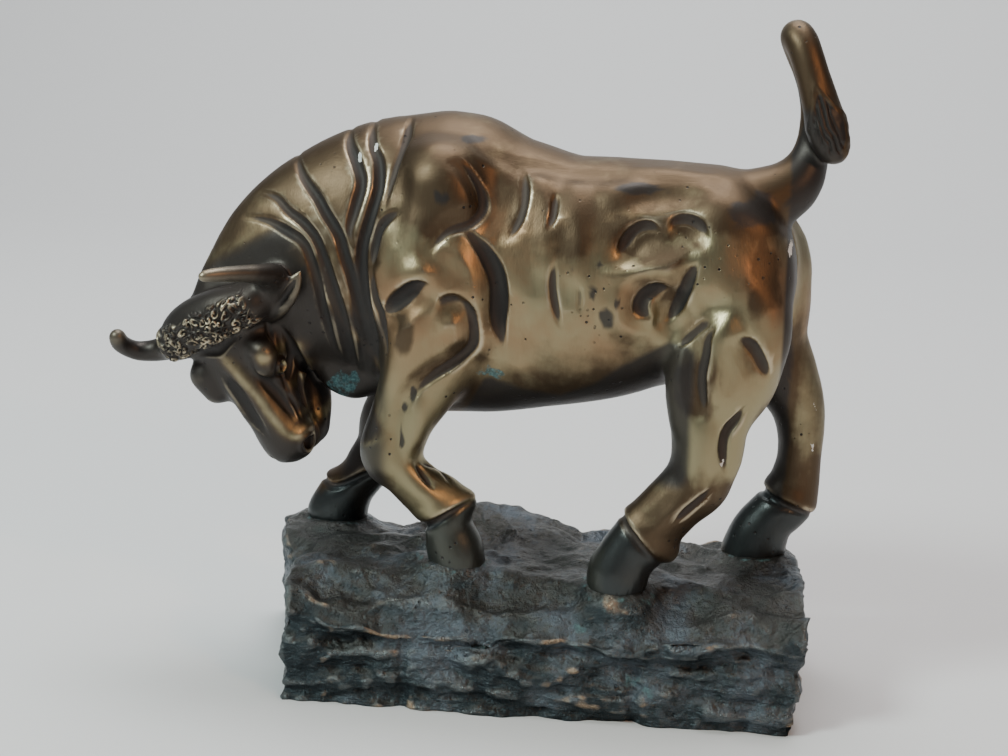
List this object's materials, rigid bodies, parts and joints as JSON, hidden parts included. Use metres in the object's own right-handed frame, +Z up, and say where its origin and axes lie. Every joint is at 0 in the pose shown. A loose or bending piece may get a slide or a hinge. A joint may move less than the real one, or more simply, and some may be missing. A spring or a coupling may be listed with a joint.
{
  "type": "bull sculpture",
  "caption": "Cast brass bull with lowered head, wrinkled neck and raised tufted tail, striding on a block of rough bronze rock.",
  "frame": {"origin": "on the flat underside of the rock base, in the plane it stands on, below the middle of the bull's belly", "axes": "+X from the head towards the tail, along the body; -Y the near flank that the head turns from, +Z up"},
  "size_m": [0.3265, 0.116, 0.3031],
  "materials": {
    "bull_brass": "hand-polished olive-gold brass with dark brown patina left in the folds, the head, the hooves and the tail tuft",
    "rock_bronze": "dark green-grey patinated bronze, rough, with verdigris in the recesses"
  },
  "bodies": {
    "root": {"bull": "bull_brass", "rock_base": "rock_bronze"}
  },
  "joints": []
}
